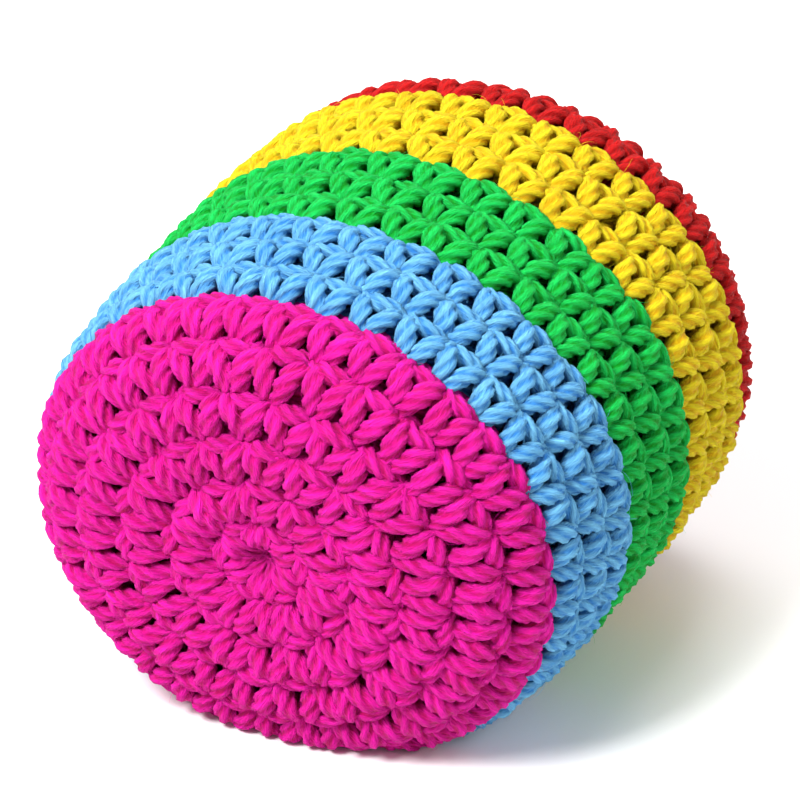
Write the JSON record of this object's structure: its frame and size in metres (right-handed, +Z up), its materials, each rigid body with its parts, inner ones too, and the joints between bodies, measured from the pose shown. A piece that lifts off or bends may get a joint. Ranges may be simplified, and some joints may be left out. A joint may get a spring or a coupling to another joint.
{
  "type": "footbag",
  "caption": "Short barrel-shaped crocheted footbag in bright colour bands, filled with pellets and lying settled on its side.",
  "frame": {"origin": "middle of the footprint, on the floor that the bag lies on", "axes": "+Z up; +Y from the front cap to the rear cap, along the floor; +X to the right when seen from the front cap"},
  "size_m": [0.0522, 0.0574, 0.0459],
  "materials": {
    "magenta_yarn": "matte",
    "light_blue_yarn": "matte",
    "green_yarn": "matte",
    "yellow_yarn": "matte",
    "red_yarn": "matte",
    "liner_film": "satin",
    "tie_cord": "matte",
    "pellets": "satin"
  },
  "bodies": {
    "root": {"front_cap": "magenta_yarn", "front_ring": "magenta_yarn", "blue_band": "light_blue_yarn", "green_band": "green_yarn", "yellow_band": "yellow_yarn", "rear_cap": "red_yarn", "rear_drawstring": "red_yarn", "liner_bag": "liner_film", "liner_tie": "tie_cord", "pellet_fill": "pellets"}
  },
  "joints": []
}
